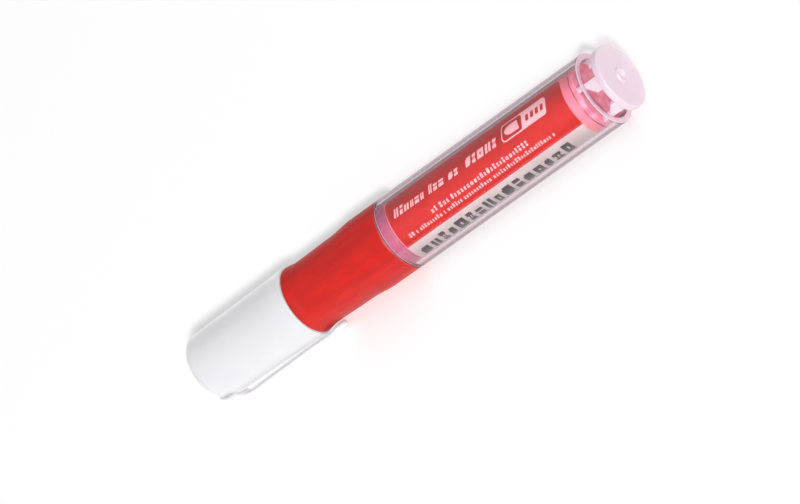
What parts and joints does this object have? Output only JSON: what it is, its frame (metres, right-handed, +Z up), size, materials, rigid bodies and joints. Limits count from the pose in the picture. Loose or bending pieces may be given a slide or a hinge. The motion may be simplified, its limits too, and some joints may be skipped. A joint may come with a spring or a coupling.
{
  "type": "whiteboard marker",
  "caption": "Refillable whiteboard marker: capped bullet nib, finned ink feed in a waisted grip, clear barrel over a pull-out ink cartridge with a tail disc.",
  "frame": {"origin": "on the table, under the middle of the marker's bounding box", "axes": "+X along the pen's axis from the cap to the tail, +Z up from the table, the clip rests on the table on the -Y side"},
  "size_m": [0.1368, 0.0198, 0.019],
  "materials": {
    "cap_plastic": "satin moulded white",
    "natural_plastic": "unpigmented moulding, slightly milky",
    "nib_fibre": "bonded fibre soaked with red ink",
    "grip_plastic": "satin moulded red",
    "collector_plastic": "wetted by ink between the fins",
    "sleeve_plastic": "pale pink translucent",
    "clear_barrel": "clear, faintly pink",
    "label_film": "printed film with a grey stripe",
    "cartridge_plastic": "translucent, stained by ink",
    "seal_rubber": "matt rubber",
    "red_ink": "liquid",
    "tail_plastic": "milky pink translucent"
  },
  "bodies": {
    "barrel": {"barrel_tube": "clear_barrel", "barrel_label": "label_film", "joint_sleeve": "sleeve_plastic", "grip_section": "grip_plastic", "nib_holder": "natural_plastic", "nib": "nib_fibre", "ink_collector": "collector_plastic", "feed_wick": "nib_fibre", "piercing_spigot": "natural_plastic"},
    "cap": {"cap_shell": "cap_plastic", "cap_liner": "natural_plastic"},
    "refill": {"cartridge_body": "cartridge_plastic", "cartridge_stopper": "natural_plastic", "spigot_seal": "seal_rubber", "ink_charge": "red_ink"},
    "end_plug": {"cartridge_end_plug": "tail_plastic", "tail_disc": "tail_plastic"}
  },
  "joints": [
    {"name": "cap_pull", "type": "slide", "parent": "barrel", "child": "cap", "axis": [-1, 0, 0], "range_m": [0, 0.045]},
    {"name": "refill_pull", "type": "slide", "parent": "barrel", "child": "refill", "axis": [1, 0, 0], "range_m": [0, 0.065]},
    {"name": "plug_pull", "type": "slide", "parent": "refill", "child": "end_plug", "axis": [1, 0, 0], "range_m": [0, 0.012]}
  ]
}
